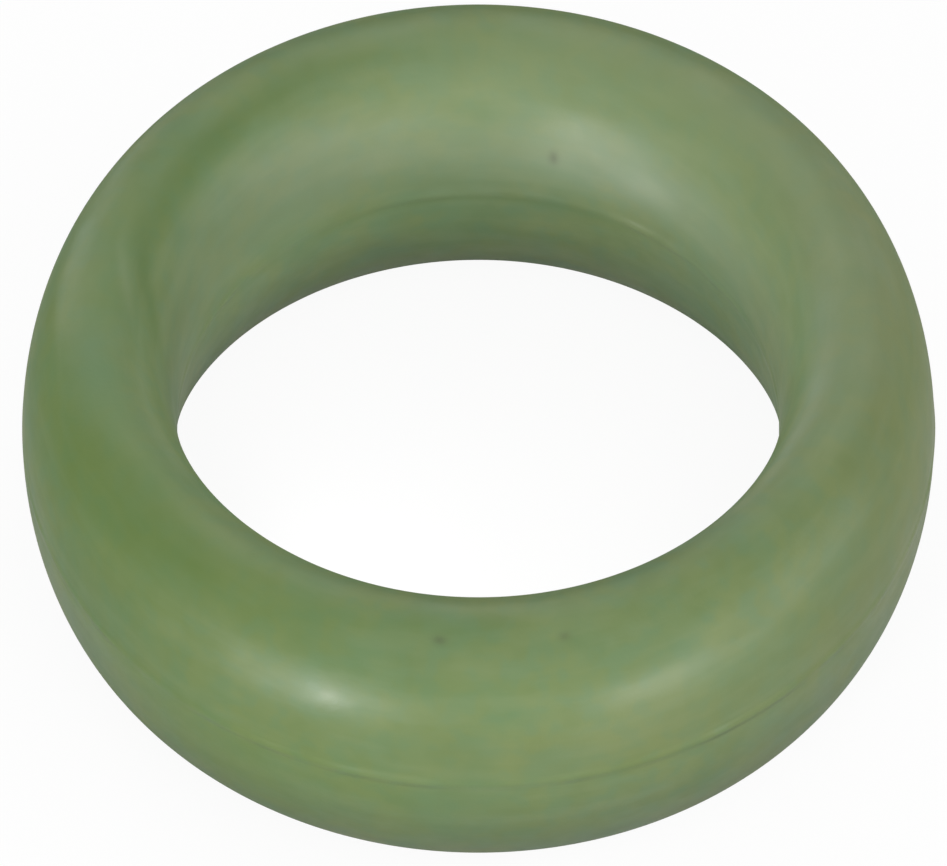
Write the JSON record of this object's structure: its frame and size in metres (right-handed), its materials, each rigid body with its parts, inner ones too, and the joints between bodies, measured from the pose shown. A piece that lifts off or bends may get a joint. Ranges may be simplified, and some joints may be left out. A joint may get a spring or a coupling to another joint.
{
  "type": "sealing ring",
  "caption": "Moulded green rubber ring of tall oval section with a fine parting line; seals the gap between a pipe end and the housing bore round it.",
  "frame": {"origin": "centre of the ring, on its axis and half way up its height", "axes": "+Z along the ring's axis, upwards as it lies flat; X and Y in the plane of the parting line, with -Y towards the viewer"},
  "size_m": [0.016, 0.016, 0.0062],
  "materials": {
    "green_rubber": "semi-matte moulded elastomer, soft broad highlights, slight cloudy mottling"
  },
  "bodies": {
    "root": {"sealing_ring": "green_rubber"}
  },
  "joints": []
}
